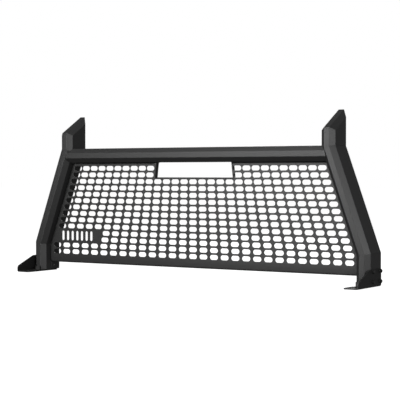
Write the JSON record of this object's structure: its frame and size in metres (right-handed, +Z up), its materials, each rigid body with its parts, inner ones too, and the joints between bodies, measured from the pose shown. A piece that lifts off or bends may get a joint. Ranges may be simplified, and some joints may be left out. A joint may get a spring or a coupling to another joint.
{
  "type": "headache rack",
  "caption": "Pickup headache rack with cranked octagonal uprights, coped crossbar, slotted panel with brake light window, and bent bed rail brackets.",
  "frame": {"origin": "middle of the footprint, on the plane that rests on the bed rails", "axes": "+X across the truck to the right seen from the bed, +Y towards the cab, +Z up"},
  "size_m": [1.7352, 0.2396, 0.712],
  "materials": {
    "tube_coat": "textured black powder coat on aluminium tube",
    "panel_coat": "textured black powder coat on sheet",
    "bracket_coat": "satin black powder coat on steel plate",
    "bolt_steel": "black oxide steel fasteners",
    "screw_steel": "black zinc button head screws",
    "zinc_steel": "zinc plated steel",
    "cap_plastic": "moulded black polyethylene"
  },
  "bodies": {
    "root": {"left_leg_tube": "tube_coat", "left_raked_tube": "tube_coat", "left_horn_tube": "tube_coat", "left_tip_cover": "tube_coat", "left_foot_cap": "cap_plastic", "left_bracket": "bracket_coat", "left_bracket_bolts": "bolt_steel", "left_bracket_washers": "bolt_steel", "left_nut_plate": "zinc_steel", "left_rail_nut": "bolt_steel", "left_panel_screws": "screw_steel", "left_rivet_nuts": "zinc_steel", "right_leg_tube": "tube_coat", "right_raked_tube": "tube_coat", "right_horn_tube": "tube_coat", "right_tip_cover": "tube_coat", "right_foot_cap": "cap_plastic", "right_bracket": "bracket_coat", "right_bracket_bolts": "bolt_steel", "right_bracket_washers": "bolt_steel", "right_nut_plate": "zinc_steel", "right_rail_nut": "bolt_steel", "right_panel_screws": "screw_steel", "right_rivet_nuts": "zinc_steel", "crossbar_tube": "tube_coat", "slotted_panel": "panel_coat", "top_panel_screws": "screw_steel", "top_rivet_nuts": "zinc_steel"}
  },
  "joints": []
}
